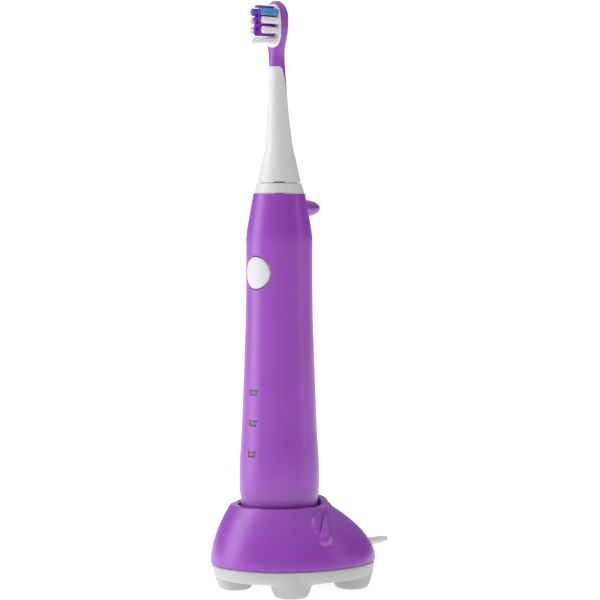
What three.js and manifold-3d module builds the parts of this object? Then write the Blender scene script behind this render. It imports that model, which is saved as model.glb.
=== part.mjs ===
// Electric toothbrush standing in its inductive charger, with its low-voltage lead.
// Millimetres, +Z up. Origin: centre of the charger's outline, on the surface it stands on.
// The button side faces -Y and the lead leaves at +Y.
import * as THREE from 'three';
import { mergeVertices } from 'three/addons/utils/BufferGeometryUtils.js';
import Module from 'manifold-3d';

const wasm = await Module();
wasm.setup();

// ---------- driving dimensions ----------

const GAP = 0.3; // clearance between neighbouring pieces
const ROUND_LARGE = 32; // sides of the large round pieces
const ROUND_HEAD = 20;
const ROUND_SMALL = 16;
const ROUND_TINY = 10;
const AXIS_Y = -7.7; // the brush stands forward of the charger's centre

// Charger dome: an ellipse at the seam that turns into a circle at the socket rim.
const SEAM_Z = 11.3;
const RIM_Z = 33.8;
const BASE_HALF_X = 29.7;
const BASE_HALF_Y = 34.3;
const RIM_R = 18.9;
const DOME_CURVE = 1.8;
const DOME_WALL = 2;
const SOCKET_R = 15.9;
const SOCKET_WALL = 1.6;
const SOCKET_FLOOR_Z = 21.7;
const POST_R = 5.2;
const POST_TOP_Z = 33;

// Bottom cover: a skirt on four rounded feet.
const SKIRT_Z = 5.5;
const SKIRT_TAPER = 1.3;
const FLOOR_WALL = 1.6;
const FOOT_X = 15.3;
const FOOT_Y = 16.7;
const PAD_R = 3.3;
const PAD_H = 0.9;
const BOSS_R = 3;
const SCREW_R = 1.1;

// Lead: straight out of the rear, round to the left, down to the table and into a tied coil.
const CORD_R = 1.2;
const EXIT_Z = 14.2;
const RELIEF_END_Y = 50;
const COIL_X = -46;
const COIL_Y = 46;
const COIL_INNER_R = 10.9;
const COIL_OUTER_R = 18.1;
const COIL_BOTTOM_Z = 0.8;
const COIL_TOP_Z = 10.4;
const COIL_ENTRY_Y = COIL_Y + COIL_OUTER_R - CORD_R;

// Handle: outer radius against height.
const HANDLE_PROFILE = [
  [13.2, 22], [14.4, 25], [14.8, 35], [15.3, 40], [15.4, 46], [14.6, 61], [13.8, 80],
  [13.1, 99], [12.8, 120], [12.7, 134], [12.2, 140], [10.8, 148.2], [9.85, 153.2],
];
const HANDLE_CAVITY = [
  [12.4, 22], [12.4, 60], [10.9, 118], [10.5, 136], [8.4, 149.6],
];
const NECK_HOLE_R = 4.6;
const TAB_Z = 147.4;
const TAB_TIP = 21;

const BUTTON_Z = 123;
const BUTTON_R = 6.1;
const BUTTON_PROUD = 0.3;
const BUTTON_WALL = 1.5;
const LIGHT_Z = [77.4, 65.7, 53.9];

const BATTERY_R = 7.1;
const BATTERY_Y = 1.6;
const MOTOR_R = 5.3;
const SHAFT_R = 2;
const SHAFT_TOP_Z = 171;

// Brush head: [height, centre y, half width x, half depth y, squareness of the section].
const HEAD_SECTIONS = [
  [157.25, 0, 8.35, 8.35, 2], [160.2, 0, 7.65, 7.65, 2], [162.5, 0, 7.2, 7.2, 2],
  [164.8, 0, 6.65, 6.65, 2], [168, 0, 5.9, 5.9, 2], [171.7, -0.1, 5.15, 5.15, 2],
  [176.3, -0.35, 4.75, 4.75, 2], [181, -0.6, 4.35, 4.35, 2], [185.6, -0.75, 3.95, 3.95, 2],
  [190, -0.8, 3.6, 3.6, 2], [195, -0.85, 3.3, 3.3, 2], [199.4, -1, 3.1, 3.1, 2],
  [204, -1.3, 3.05, 2.9, 2], [207.5, -1.45, 3.4, 2.5, 2.3], [210.5, -1.5, 4.2, 2.25, 2.7],
  [213.5, -1.5, 4.95, 2.2, 3], [217, -1.5, 5.4, 2.2, 3.2], [220.5, -1.5, 5.4, 2.2, 3.2],
  [223.1, -1.5, 4.6, 2.15, 3], [225, -1.5, 3.3, 2.05, 2.6], [226.4, -1.5, 1.3, 1.5, 2],
];
const PLATE_Z = 216.9;
const PLATE_HALF_X = 4.3;
const PLATE_HALF_Z = 8.3;
const PLATE_SQUARENESS = 2.6;
const PLATE_FRONT_Y = -3.9;
const PLATE_BACK_Y = -2.6;
const ROOT_FRONT_Y = -2.3;
const ROOT_BACK_Y = -1.8;
const RECESS_Y = -1.5;
const TUFT_TIP_Y = -12.1;
const RING_BOTTOM_Z = 153.5;
const RING_TOP_Z = 156.95;

// ---------- geometry helpers ----------

function solidOf(geometry) {
  const bare = geometry.index ? geometry.toNonIndexed() : geometry.clone();
  bare.deleteAttribute('normal');
  bare.deleteAttribute('uv');
  const merged = mergeVertices(bare, 1e-3);
  return new wasm.Manifold(
    new wasm.Mesh({
      numProp: 3,
      vertProperties: merged.attributes.position.array,
      triVerts: new Uint32Array(merged.index.array),
    }),
  );
}

function geometryOf(solid) {
  const mesh = solid.getMesh();
  const geometry = new THREE.BufferGeometry();
  geometry.setAttribute('position', new THREE.BufferAttribute(mesh.vertProperties, 3));
  geometry.setIndex(new THREE.BufferAttribute(mesh.triVerts, 1));
  const flat = geometry.toNonIndexed();
  flat.computeVertexNormals();
  return flat;
}

// A solid turned round the Z axis from [radius, height] points.
function lathe(profile, segments = ROUND_SMALL) {
  const points = profile.map(([r, z]) => new THREE.Vector2(r, z));
  const onAxis = profile[0][0] === 0 && profile.at(-1)[0] === 0;
  if (THREE.ShapeUtils.area(points) < 0) points.reverse();
  if (!onAxis) points.push(points[0].clone());
  return solidOf(new THREE.LatheGeometry(points, segments).rotateX(Math.PI / 2));
}

function cylinder(r, z0, z1, segments = ROUND_SMALL) {
  return lathe([[0, z0], [r, z0], [r, z1], [0, z1]], segments);
}

function tube(inner, outer, z0, z1, segments = ROUND_SMALL) {
  return lathe([[inner, z0], [outer, z0], [outer, z1], [inner, z1]], segments);
}

function box(x0, x1, y0, y1, z0, z1) {
  const geometry = new THREE.BoxGeometry(x1 - x0, y1 - y0, z1 - z0);
  return solidOf(geometry.translate((x0 + x1) / 2, (y0 + y1) / 2, (z0 + z1) / 2));
}

function ellipsoid(x, y, z, rx, ry, rz) {
  return solidOf(new THREE.SphereGeometry(1, 16, 8).scale(rx, ry, rz).translate(x, y, z));
}

// A shape drawn in X and Z, pushed along Y from y0 to y1.
function slab(shape, y0, y1, curveSegments = 6) {
  const geometry = new THREE.ExtrudeGeometry(shape, {
    depth: y1 - y0,
    bevelEnabled: false,
    curveSegments,
  });
  return solidOf(geometry.rotateX(Math.PI / 2).translate(0, y1, 0));
}

// One horizontal outline: a superellipse, which squareness 2 makes an ellipse.
function outline(z, y, rx, ry, squareness, count) {
  return Array.from({ length: count }, (_, i) => {
    const a = (2 * Math.PI * i) / count;
    const bend = (v) => Math.sign(v) * Math.abs(v) ** (2 / squareness);
    return new THREE.Vector3(rx * bend(Math.cos(a)), y + ry * bend(Math.sin(a)), z);
  });
}

// A solid skinned over outlines stacked from bottom to top, with flat ends.
function loft(outlines) {
  const count = outlines[0].length;
  const points = outlines.flat();
  const index = [];
  outlines.slice(1).forEach((_, level) => {
    for (let i = 0; i < count; i += 1) {
      const a = level * count + i;
      const b = level * count + ((i + 1) % count);
      index.push(a, b, b + count, a, b + count, a + count);
    }
  });
  const top = (outlines.length - 1) * count;
  for (let i = 1; i < count - 1; i += 1) {
    index.push(0, i + 1, i);
    index.push(top, top + i, top + i + 1);
  }
  const geometry = new THREE.BufferGeometry().setFromPoints(points).setIndex(index);
  return solidOf(geometry);
}

// A round rod that follows a smooth curve through points.
function sweep(points, r, steps, sides = 8) {
  const curve = new THREE.CatmullRomCurve3(points.map((p) => new THREE.Vector3(...p)));
  const section = new THREE.Shape();
  Array.from({ length: sides }, (_, i) => (2 * Math.PI * i) / sides).forEach((a, i) => {
    const step = i ? 'lineTo' : 'moveTo';
    section[step](r * Math.cos(a), r * Math.sin(a));
  });
  return solidOf(new THREE.ExtrudeGeometry(section, { steps, extrudePath: curve }));
}

const alongY = (solid) => solid.rotate([-90, 0, 0]);
const at = (solid, x, y, z = 0) => solid.translate([x, y, z]);

// ---------- materials ----------

const finish = (color, roughness, metalness = 0) =>
  new THREE.MeshStandardMaterial({ color, roughness, metalness });

const PURPLE = finish(0x9650b9, 0.38);
const WHITE = finish(0xd8d8d8, 0.42);
const CORD = finish(0xd2d2d2, 0.5);
const RUBBER = finish(0x6a6a6e, 0.8);
const STEEL = finish(0xb9bcc0, 0.25, 1);
const COPPER = finish(0xb5713c, 0.35, 1);
const FERRITE = finish(0x3a3a3e, 0.7);
const BOARD = finish(0x2f6b45, 0.5);
const FRAME = finish(0xb8b8b4, 0.6);
const BATTERY = finish(0x3e6aa8, 0.4);
const LIGHT = finish(0x6d6870, 0.35);
const BLUE = finish(0x4b91c3, 0.5);

function piece(group, name, solid, material) {
  const mesh = new THREE.Mesh(geometryOf(solid), material);
  mesh.name = name;
  group.add(mesh);
}

// ---------- charger ----------

function domeOutline(z, inset) {
  const blend = Math.max(0, (z - SEAM_Z) / (RIM_Z - SEAM_Z)) ** DOME_CURVE;
  const rx = THREE.MathUtils.lerp(BASE_HALF_X, RIM_R, blend) - inset;
  const ry = THREE.MathUtils.lerp(BASE_HALF_Y, RIM_R, blend) - inset;
  return outline(z, AXIS_Y * blend, rx, ry, 2, ROUND_LARGE);
}

function domeForm(z0, z1, inset, levels) {
  const step = (z1 - z0) / levels;
  return loft(Array.from({ length: levels + 1 }, (_, i) => domeOutline(z0 + i * step, inset)));
}

const feet = [-1, 1].flatMap((sy) => [-1, 1].map((sx) => [sx * FOOT_X, sy * FOOT_Y]));

function leadHole() {
  return at(alongY(cylinder(2.2, 26, 40)), 0, 0, EXIT_Z);
}

// The raised lip behind the handle, falling away to the sides.
function rearLip() {
  const wall = at(tube(SOCKET_R + 0.3, RIM_R, RIM_Z - 1.4, 39, ROUND_LARGE), 0, AXIS_Y);
  return wall.intersect(ellipsoid(0, AXIS_Y + 17, RIM_Z - 1.4, 13, 12, 3.9));
}

// The leaf-shaped relief below the rim on each side.
function sideLeaf(side) {
  return ellipsoid(0, 0, 0, 1.7, 4.4, 7.2).rotate([0, -side * 36, 0])
    .translate([side * 23.2, AXIS_Y - 1, 26]);
}

function baseShell() {
  const dome = domeForm(SEAM_Z + GAP, RIM_Z, 0, 7);
  const wellBottom = SOCKET_FLOOR_Z - SOCKET_WALL;
  const wellOuter = at(cylinder(SOCKET_R + SOCKET_WALL, wellBottom, RIM_Z, ROUND_LARGE), 0, AXIS_Y);
  const hollow = domeForm(SEAM_Z - 1, RIM_Z - 3.4, DOME_WALL, 4).subtract(wellOuter);
  const socket = at(cylinder(SOCKET_R, SOCKET_FLOOR_Z, 45, ROUND_LARGE), 0, AXIS_Y);
  const postHole = at(cylinder(POST_R + GAP, 15, 25), 0, AXIS_Y);
  const bosses = feet.map(([x, y]) => at(cylinder(BOSS_R, SEAM_Z + GAP, 30, ROUND_TINY), x, y));
  const screwHoles = feet.map(([x, y]) => at(cylinder(SCREW_R + 0.2, 10, 20.5, ROUND_TINY), x, y));
  const outside = dome.add(rearLip()).add(sideLeaf(-1)).add(sideLeaf(1));
  const shell = outside.subtract(hollow).subtract(socket);
  const withBosses = bosses.reduce((s, boss) => s.add(boss.intersect(dome)), shell)
    .subtract(socket);
  return screwHoles.reduce((s, hole) => s.subtract(hole), withBosses)
    .subtract(postHole)
    .subtract(leadHole());
}

function footLobe() {
  return lathe([
    [0, 0.25], [4.1, 0.25], [4.9, 0.6], [5.8, 1.2], [6.5, 2], [7.1, 3], [7.6, 4.4],
    [7.9, 6.5], [7.4, 8.6], [0, 9],
  ]);
}

function baseCover() {
  const levels = [SKIRT_Z, 7.4, 9.2, SEAM_Z];
  const skirtOutline = (z, inset) => {
    const taper = (SKIRT_TAPER * (SEAM_Z - z)) / (SEAM_Z - SKIRT_Z) + 0.2 + inset;
    return outline(z, 0, BASE_HALF_X - taper, BASE_HALF_Y - taper, 2, ROUND_LARGE);
  };
  const skirt = loft(levels.map((z) => skirtOutline(z, 0)));
  const floorZ = SKIRT_Z + FLOOR_WALL;
  const hollow = loft([floorZ, 9, SEAM_Z + 1].map((z) => skirtOutline(z, 1.8)));
  const lobes = feet.map(([x, y]) => at(footLobe(), x, y));
  const bosses = feet.map(([x, y]) => at(cylinder(BOSS_R, floorZ - 0.5, SEAM_Z, ROUND_TINY), x, y));
  const holes = feet.flatMap(([x, y]) => [
    at(cylinder(PAD_R + GAP, 0, PAD_H + GAP), x, y),
    at(cylinder(2.5, 0, 3, ROUND_TINY), x, y),
    at(cylinder(SCREW_R + 0.2, 2, 12, ROUND_TINY), x, y),
  ]);
  const body = lobes.reduce((s, lobe) => s.add(lobe), skirt).subtract(hollow);
  const bossed = bosses.reduce((s, boss) => s.add(boss), body);
  return holes.reduce((s, hole) => s.subtract(hole), bossed);
}

function screw() {
  const head = 2.2;
  return lathe([
    [0, 1.7], [0.9, 1.35], [head, 1.35], [head, 2.7], [SCREW_R, 2.7], [SCREW_R, 19.4], [0, 20],
  ], ROUND_TINY);
}

function chargingPost() {
  const inner = POST_R - 0.9;
  const flangeTop = SOCKET_FLOOR_Z - SOCKET_WALL - GAP;
  return lathe([
    [inner, 18.2], [7.4, 18.2], [7.4, flangeTop], [POST_R, flangeTop],
    [POST_R, POST_TOP_Z - 0.8], [POST_R - 0.8, POST_TOP_Z], [0, POST_TOP_Z],
    [0, POST_TOP_Z - 1.2], [inner, POST_TOP_Z - 1.2],
  ]);
}

function charger() {
  const group = new THREE.Group();
  piece(group, 'base_shell', baseShell(), PURPLE);
  piece(group, 'base_cover', baseCover(), WHITE);
  feet.forEach(([x, y], i) => {
    piece(group, `foot_pad_${i + 1}`, at(cylinder(PAD_R, 0, PAD_H), x, y), RUBBER);
    piece(group, `base_screw_${i + 1}`, at(screw(), x, y), STEEL);
  });
  piece(group, 'charging_post', at(chargingPost(), 0, AXIS_Y), PURPLE);
  piece(group, 'ferrite_core', at(cylinder(1.6, 10.5, 31.2, ROUND_TINY), 0, AXIS_Y), FERRITE);
  piece(group, 'primary_coil', at(tube(2, 3.9, 19, 31), 0, AXIS_Y), COPPER);
  const board = box(-9, 9, -14.5, 3, 8.2, 9.6);
  piece(group, 'charger_board', board, BOARD);
  return group;
}

// ---------- lead ----------

function strainRelief() {
  return at(alongY(lathe([
    [0, 27.6], [3.5, 27.6], [3.5, 29.2], [1.85, 29.2], [1.85, 34.4], [2.1, 34.8],
    [1.5, RELIEF_END_Y], [0, RELIEF_END_Y],
  ], ROUND_SMALL)), 0, 0, EXIT_Z);
}

const LEAD_ROUTE = [
  [0, RELIEF_END_Y + GAP, EXIT_Z], [-0.5, 52.6, 14.1], [-1.9, 54.6, 13.9], [-4, 55.9, 13.6],
  [-6.8, 56.6, 13.2], [-10, 57.3, 12.5], [-14, 58.4, 11], [-18.5, 59.9, 8.7],
  [-23, 61.4, 6], [-27.5, 62.4, 3.7], [-32, 62.8, 2.4], [-36.4, COIL_ENTRY_Y, 2],
];

// The end of the lead lifts off the coil's top turn and loops round into the plug.
// Its points are in the coil's own frame, which is turned so that the loop lies behind.
const TAIL_ROUTE = [
  [14.2, -13.6, 9.2], [16.8, -12.6, 9.6], [20.6, -9.6, 10.6], [23, -5.4, 11.9],
  [23.6, -0.8, 13.1], [22.6, 3.6, 13.9], [19.8, 7, 14.3], [16.2, 8.7, 14.4],
  [13.3, 8.8, 14.4],
];
const PLUG_Y = 8.8;
const PLUG_Z = 14.4;
const PLUG_START_X = 13;

function plugBody() {
  const x0 = PLUG_START_X;
  const grip = box(x0 - 26, x0 - 6, PLUG_Y - 7.4, PLUG_Y + 7.4, PLUG_Z - 3.7, PLUG_Z + 3.7);
  const boot = lathe([[0, 0], [1.9, 0], [3, 6.2], [0, 6.2]]).rotate([0, -90, 0]);
  const socket = box(x0 - 27, x0 - 21, PLUG_Y - 6.3, PLUG_Y + 6.3, PLUG_Z - 2.6, PLUG_Z + 2.6);
  return grip.add(boot.translate([x0, PLUG_Y, PLUG_Z])).subtract(socket);
}

function plugShell() {
  const x1 = PLUG_START_X - 21.4;
  const x0 = x1 - 16;
  const outer = box(x0, x1, PLUG_Y - 6, PLUG_Y + 6, PLUG_Z - 2.25, PLUG_Z + 2.25);
  const inner = box(x0 - 1, x1 - 1, PLUG_Y - 5.6, PLUG_Y + 5.6, PLUG_Z - 1.85, PLUG_Z + 1.85);
  return outer.subtract(inner);
}

function plugTongue() {
  const x1 = PLUG_START_X - 22.8;
  return box(x1 - 14.2, x1, PLUG_Y - 5.3, PLUG_Y + 5.3, PLUG_Z - 1.6, PLUG_Z + 0.2);
}

function coilTie() {
  const strap = 0.5;
  const x0 = COIL_INNER_R - 0.7;
  const x1 = COIL_OUTER_R + GAP;
  const z0 = COIL_BOTTOM_Z - GAP;
  const z1 = COIL_TOP_Z + GAP;
  const band = box(x0 - strap, x1 + strap, -2, 2, z0 - strap, z1 + strap);
  return band.subtract(box(x0, x1, -3, 3, z0, z1)).rotate([0, 0, -155]);
}

function lead() {
  const group = new THREE.Group();
  piece(group, 'strain_relief', strainRelief(), CORD);
  piece(group, 'lead_cord', sweep(LEAD_ROUTE, CORD_R, 20), CORD);
  const inside = [[0, 27.4, EXIT_Z], [0, 22, 14.2], [0, 14, 13.8], [0, 6, 12.6], [0, -1, 11.8]];
  piece(group, 'inner_lead', sweep(inside, CORD_R, 6), CORD);
  const stored = new THREE.Group();
  stored.position.set(COIL_X, COIL_Y, 0);
  stored.rotation.z = THREE.MathUtils.degToRad(135);
  const coil = tube(COIL_INNER_R, COIL_OUTER_R, COIL_BOTTOM_Z, COIL_TOP_Z, ROUND_LARGE);
  piece(stored, 'lead_coil', coil, CORD);
  piece(stored, 'coil_tie', coilTie(), RUBBER);
  piece(stored, 'lead_tail', sweep(TAIL_ROUTE, CORD_R, 16), CORD);
  piece(stored, 'plug_body', plugBody(), CORD);
  piece(stored, 'plug_shell', plugShell(), STEEL);
  piece(stored, 'plug_tongue', plugTongue(), WHITE);
  group.add(stored);
  return group;
}

// ---------- handle ----------

function handleForm(grow) {
  const skin = HANDLE_PROFILE.map(([r, z]) => [r + grow, z]);
  return lathe([[0, skin[0][1]], ...skin, [0, skin.at(-1)[1]]], ROUND_LARGE);
}

function restTab() {
  const reach = ellipsoid(0, TAB_TIP - 11.5, TAB_Z, 4, 11.5, 3.4);
  return reach.subtract(cylinder(9, 140, 155));
}

// A small two-winged mark, drawn round its own centre; grow makes the hole it fits in.
function lightShape(grow) {
  const upper = 2 + grow;
  const lower = 1.3 + grow;
  const waist = 0.4 + grow;
  const shape = new THREE.Shape();
  shape.moveTo(0, 0.5 + grow);
  shape.lineTo(upper, 1.2 + grow);
  shape.lineTo(upper - 0.5, -0.1);
  shape.lineTo(lower, -1.2 - grow);
  shape.lineTo(waist, -0.7 - grow);
  shape.lineTo(-waist, -0.7 - grow);
  shape.lineTo(-lower, -1.2 - grow);
  shape.lineTo(-upper + 0.5, -0.1);
  shape.lineTo(-upper, 1.2 + grow);
  return shape;
}

function lightPrism(z, grow) {
  return slab(lightShape(grow), -20, -11, 1).translate([0, 0, z]);
}

function handleShell() {
  const neck = [[NECK_HOLE_R, 149.6], [NECK_HOLE_R, 154]];
  const cavity = lathe([[0, 21], [12.4, 21], ...HANDLE_CAVITY, ...neck, [0, 154]], ROUND_LARGE);
  const buttonHole = alongY(cylinder(BUTTON_R + GAP, -20, 0, ROUND_HEAD)).translate([0, 0, BUTTON_Z]);
  const shell = handleForm(0).add(restTab()).subtract(cavity).subtract(buttonHole);
  return LIGHT_Z.reduce((s, z) => s.subtract(lightPrism(z, 0.2)), shell);
}

function handleCap() {
  const cupR = 6;
  return lathe([
    [cupR, 22.2], [11.9, 22.2], [11.9, 22.9], [11.2, 22.9], [11.2, 24], [11.9, 24],
    [11.9, 24.7], [cupR + 1.2, 24.7], [cupR + 1.2, 35.4], [0, 35.4], [0, 34.2], [cupR, 34.2],
  ]);
}

function chassis() {
  const plate = box(-8.8, 8.8, -6.9, -5.7, 36.2, 92).add(box(-6, 6, -6.9, -5.7, 36.2, 128));
  const walls = [-1, 1].map((s) => box(s * 8.2 - 0.5, s * 8.2 + 0.5, -6.9, 1, 36.2, 92));
  const lips = [36.2, 89.8].map((z) => box(-8, 8, -6.9, 5.5, z, z + 1.4));
  return [...walls, ...lips].reduce((s, part) => s.add(part), plate);
}

function button() {
  const skin = handleForm(BUTTON_PROUD).subtract(handleForm(-BUTTON_WALL));
  const disc = alongY(cylinder(BUTTON_R, -20, -8, ROUND_HEAD)).translate([0, 0, BUTTON_Z]);
  const stem = alongY(cylinder(1.4, -12, -11.05, ROUND_TINY)).translate([0, 0, BUTTON_Z]);
  return skin.intersect(disc).add(stem);
}

function tactSwitch() {
  const plunger = alongY(cylinder(1.2, -10.6, -9, ROUND_TINY)).translate([0, 0, BUTTON_Z]);
  return box(-3, 3, -10.1, -8.6, BUTTON_Z - 3, BUTTON_Z + 3).add(plunger);
}

function handle() {
  const group = new THREE.Group();
  piece(group, 'handle_shell', handleShell(), PURPLE);
  piece(group, 'handle_cap', handleCap(), PURPLE);
  piece(group, 'cap_seal', lathe([[11.35, 23.05], [12.2, 23.05], [12.2, 23.85], [11.35, 23.85]]), RUBBER);
  piece(group, 'secondary_coil', tube(7.6, 10.6, 25.2, 33.8), COPPER);
  piece(group, 'chassis', chassis(), FRAME);
  piece(group, 'battery', at(lathe([
    [0, 38], [BATTERY_R, 38], [BATTERY_R, 87], [3, 87], [3, 88.6], [0, 88.6],
  ]), 0, BATTERY_Y), BATTERY);
  piece(group, 'motor', lathe([
    [0, 95], [4.6, 95], [MOTOR_R, 95.8], [MOTOR_R, 120], [4, 121], [0, 121],
  ]), STEEL);
  const clamp = tube(MOTOR_R + GAP, 9.8, 104, 110).subtract(box(-12, 12, -12, -5.2, 100, 115));
  piece(group, 'motor_clamp', clamp, FRAME);
  piece(group, 'main_board', box(-6.2, 6.2, -8.3, -7.2, 44, 127), BOARD);
  piece(group, 'tact_switch', tactSwitch(), FERRITE);
  LIGHT_Z.forEach((z, i) => {
    const guide = lightPrism(z, 0).intersect(handleForm(-0.05));
    piece(group, `mode_light_${i + 1}`, guide, LIGHT);
    piece(group, `mode_led_${i + 1}`, box(-1.5, 1.5, -9.4, -8.6, z - 1, z + 1), WHITE);
  });
  piece(group, 'bearing_carrier', tube(4.3, 9.6, 134, 140), FRAME);
  piece(group, 'shaft_bearing', tube(SHAFT_R + 0.25, 4, 133, 141), COPPER);
  const lipR = SHAFT_R + 0.2;
  piece(group, 'shaft_seal', lathe([
    [lipR, 150.6], [4.3, 149.8], [4.3, 152], [3.2, 152.4], [lipR, 151.4],
  ]), RUBBER);
  piece(group, 'power_button', button(), WHITE);
  const flat = box(1.4, 4, -4, 4, 157, 180);
  piece(group, 'drive_shaft', cylinder(SHAFT_R, 121.4, SHAFT_TOP_Z).subtract(flat), STEEL);
  return group;
}

// ---------- brush head ----------

// Where the coloured overmould meets the white core, seen from the side: level at the
// front, and falling to a tongue down the back.
function overmouldCutter(drop) {
  const edge = [
    [-12, 201.7], [-2.4, 201.7], [-1.4, 200.6], [-0.4, 198], [0.2, 194.5], [1.3, 191.3],
    [2.4, 187], [12, 187],
  ];
  const shape = new THREE.Shape();
  shape.moveTo(-12, 240);
  edge.forEach(([y, z]) => shape.lineTo(y, z - drop));
  shape.lineTo(12, 240);
  const geometry = new THREE.ExtrudeGeometry(shape, { depth: 24, bevelEnabled: false });
  return solidOf(geometry.translate(0, 0, -12).rotateX(Math.PI / 2).rotateZ(Math.PI / 2));
}

function headForm() {
  return loft(HEAD_SECTIONS.map(([z, y, rx, ry, n]) => outline(z, y, rx, ry, n, ROUND_HEAD)));
}

function headSleeve() {
  const spigot = tube(5.2, 6.7, 153.8, 157.8, ROUND_HEAD);
  const bore = lathe([
    [0, 150], [5.2, 150], [5.2, 160], [3.4, 166], [3.4, 175.4], [0, 175.4],
  ], ROUND_HEAD);
  const notch = box(-2.05, 2.05, -10, -6.9, 156.85, 157.85);
  const notches = [45, 135, 225, 315].map((turn) => notch.rotate([0, 0, turn]));
  const core = headForm().add(spigot).subtract(bore).subtract(overmouldCutter(GAP));
  return notches.reduce((s, n) => s.subtract(n), core);
}

function plateShape(grow) {
  const points = outline(0, 0, PLATE_HALF_X + grow, PLATE_HALF_Z + grow, PLATE_SQUARENESS, 24);
  return new THREE.Shape(points.map((p) => new THREE.Vector2(p.x, p.y)));
}

function headBack() {
  const recess = slab(plateShape(GAP), -9, RECESS_Y).translate([0, 0, PLATE_Z]);
  return headForm().intersect(overmouldCutter(0)).subtract(recess);
}

// Bristle tufts: [x, z, half width, half height], grouped by the root bar that holds them.
const INNER_ROWS = [221.9, 219.3, 216.7, 214.1];
const TUFTS = {
  tufts_purple: [
    [0, 223.9, 1.3, 0.5],
    ...INNER_ROWS.flatMap((z) => [[-0.95, z, 0.75, 1.15], [0.95, z, 0.75, 1.15]]),
  ],
  tufts_white_low: [[-1.9, 211.1, 0.85, 1.1], [0, 211.1, 0.85, 1.1], [1.9, 211.1, 0.85, 1.1]],
  tufts_white_left: [[-3.1, 218.7, 0.9, 1.2], [-3.1, 215, 0.9, 1.2]],
  tufts_white_right: [[3.1, 218.7, 0.9, 1.2], [3.1, 215, 0.9, 1.2]],
  tuft_blue_left: [[-2.8, 221.9, 0.8, 1.25]],
  tuft_blue_right: [[2.8, 221.9, 0.8, 1.25]],
};

function tuftPrism([x, z, rx, rz], y0, y1, grow) {
  const shape = new THREE.Shape();
  shape.absellipse(0, 0, rx + grow, rz + grow, 0, 2 * Math.PI);
  return slab(shape, y0, y1, 4).translate([x, 0, z]);
}

function tuftGroup(tufts) {
  const xs = tufts.map(([x]) => x);
  const zs = tufts.map(([, z]) => z);
  const bar = box(
    Math.min(...xs) - 0.4, Math.max(...xs) + 0.4, ROOT_FRONT_Y, ROOT_BACK_Y,
    Math.min(...zs) - 0.4, Math.max(...zs) + 0.4,
  );
  return tufts.reduce((s, t) => s.add(tuftPrism(t, TUFT_TIP_Y, ROOT_BACK_Y - 0.2, 0)), bar);
}

function tuftPlate() {
  const plate = slab(plateShape(0), PLATE_FRONT_Y, PLATE_BACK_Y).translate([0, 0, PLATE_Z]);
  const holes = Object.values(TUFTS).flat().map((t) => tuftPrism(t, -6, 0, 0.12));
  return holes.reduce((s, hole) => s.subtract(hole), plate);
}

function brushHead() {
  const group = new THREE.Group();
  piece(group, 'head_ring', lathe([
    [7.1, RING_BOTTOM_Z], [9.6, RING_BOTTOM_Z], [8.6, RING_TOP_Z], [7.1, RING_TOP_Z],
  ], ROUND_LARGE), WHITE);
  piece(group, 'head_sleeve', headSleeve(), WHITE);
  const bushR = SHAFT_R + 0.15;
  const bush = lathe([
    [bushR, 158], [3.1, 158], [3.1, 175], [0, 175], [0, 171.6], [bushR, 171.6],
  ]);
  piece(group, 'head_bush', bush, FRAME);
  piece(group, 'head_back', headBack(), PURPLE);
  piece(group, 'tuft_plate', tuftPlate(), WHITE);
  Object.entries(TUFTS).forEach(([name, tufts]) => {
    const isBlue = name.includes('blue');
    const isPurple = name.includes('purple');
    const colour = isBlue ? BLUE : isPurple ? PURPLE : WHITE;
    piece(group, name, tuftGroup(tufts), colour);
  });
  return group;
}

// ---------- assembly ----------

const toothbrush = new THREE.Group();
const brush = new THREE.Group();
brush.position.y = AXIS_Y;
brush.add(handle(), brushHead());
toothbrush.add(charger(), lead(), brush);

export default toothbrush;
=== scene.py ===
"""Looks of the electric toothbrush on its charger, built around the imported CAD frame."""

import math
import random

import bmesh
import bpy
import numpy as np
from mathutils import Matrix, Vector


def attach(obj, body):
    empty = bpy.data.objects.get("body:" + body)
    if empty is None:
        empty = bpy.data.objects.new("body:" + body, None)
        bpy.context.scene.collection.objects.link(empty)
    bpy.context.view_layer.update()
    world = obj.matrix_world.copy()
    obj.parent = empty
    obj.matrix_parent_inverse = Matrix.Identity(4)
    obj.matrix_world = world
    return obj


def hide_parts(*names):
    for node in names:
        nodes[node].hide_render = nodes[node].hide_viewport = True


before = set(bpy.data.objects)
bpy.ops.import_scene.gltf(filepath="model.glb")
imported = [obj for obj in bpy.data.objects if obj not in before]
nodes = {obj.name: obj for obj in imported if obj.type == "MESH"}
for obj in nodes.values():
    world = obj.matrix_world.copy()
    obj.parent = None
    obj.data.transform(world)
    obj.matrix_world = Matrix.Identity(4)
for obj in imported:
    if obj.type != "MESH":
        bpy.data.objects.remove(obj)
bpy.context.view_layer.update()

# ---------- driving dimensions, in millimetres as in the CAD ----------

MM = 0.001
GAP = 0.3
AXIS_Y = -7.7
SIDES = 128

SEAM_Z = 11.3
RIM_Z = 33.8
BASE_HALF_X = 29.7
BASE_HALF_Y = 34.3
RIM_R = 18.9
DOME_CURVE = 1.8
SOCKET_R = 15.9
SOCKET_WALL = 1.6
SOCKET_FLOOR_Z = 21.7
POST_R = 5.2
DOME_WALL = 2
SKIRT_Z = 5.5
SKIRT_TAPER = 1.3
FOOT_X = 15.3
FOOT_Y = 16.7
EXIT_Z = 14.2

CORD_R = 1.2
RELIEF_END_Y = 50
COIL_CENTRE = (-46, 46)
COIL_TURN = 135
COIL_SLOTS = (16.9, 14.5, 12.1)
COIL_LAYERS = (2.0, 4.4, 6.8, 9.2)

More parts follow.
